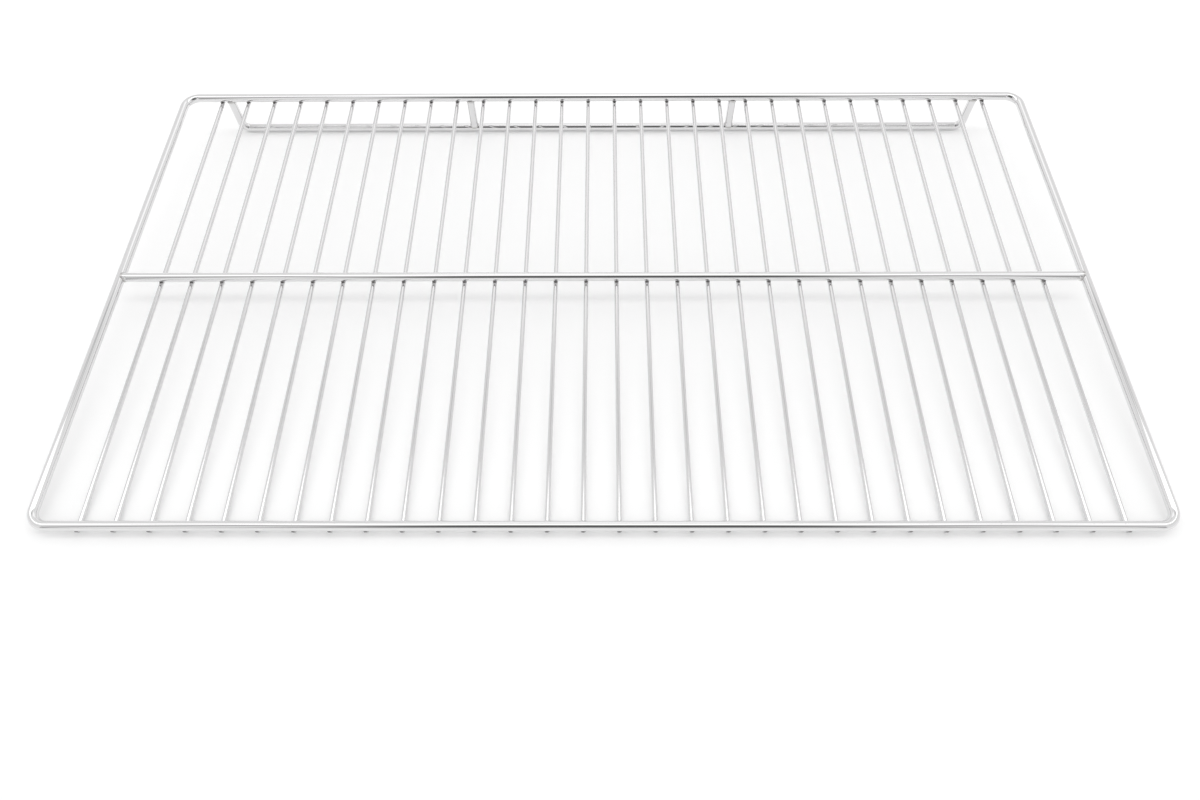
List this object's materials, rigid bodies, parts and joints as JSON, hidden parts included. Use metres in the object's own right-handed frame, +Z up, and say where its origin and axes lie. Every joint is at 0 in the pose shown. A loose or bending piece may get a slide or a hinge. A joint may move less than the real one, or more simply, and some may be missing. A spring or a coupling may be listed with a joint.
{
  "type": "wire shelf",
  "caption": "Chrome-plated wire shelf for a kitchen appliance: framed grid of parallel wires with a mid bar and a turned-down rear stop.",
  "frame": {"origin": "on the surface that the shelf lies on, under the middle of its width and depth", "axes": "+X across the shelf to the right, +Y along that surface towards the edge with the stop, +Z up; the plane of the wires rises towards +Y by the shelf's own rest angle"},
  "size_m": [0.65, 0.3615, 0.0352],
  "materials": {
    "thick_wire_chrome": "bright plated",
    "thin_wire_chrome": "bright plated over drawn wire"
  },
  "bodies": {
    "root": {"frame": "thick_wire_chrome", "mid_bar": "thick_wire_chrome", "stop": "thick_wire_chrome", "stop_post_left": "thick_wire_chrome", "stop_post_right": "thick_wire_chrome", "wire_01": "thin_wire_chrome", "wire_02": "thin_wire_chrome", "wire_03": "thin_wire_chrome", "wire_04": "thin_wire_chrome", "wire_05": "thin_wire_chrome", "wire_06": "thin_wire_chrome", "wire_07": "thin_wire_chrome", "wire_08": "thin_wire_chrome", "wire_09": "thin_wire_chrome", "wire_10": "thin_wire_chrome", "wire_11": "thin_wire_chrome", "wire_12": "thin_wire_chrome", "wire_13": "thin_wire_chrome", "wire_14": "thin_wire_chrome", "wire_15": "thin_wire_chrome", "wire_16": "thin_wire_chrome", "wire_17": "thin_wire_chrome", "wire_18": "thin_wire_chrome", "wire_19": "thin_wire_chrome", "wire_20": "thin_wire_chrome", "wire_21": "thin_wire_chrome", "wire_22": "thin_wire_chrome", "wire_23": "thin_wire_chrome", "wire_24": "thin_wire_chrome", "wire_25": "thin_wire_chrome", "wire_26": "thin_wire_chrome", "wire_27": "thin_wire_chrome", "wire_28": "thin_wire_chrome", "wire_29": "thin_wire_chrome", "wire_30": "thin_wire_chrome"}
  },
  "joints": []
}
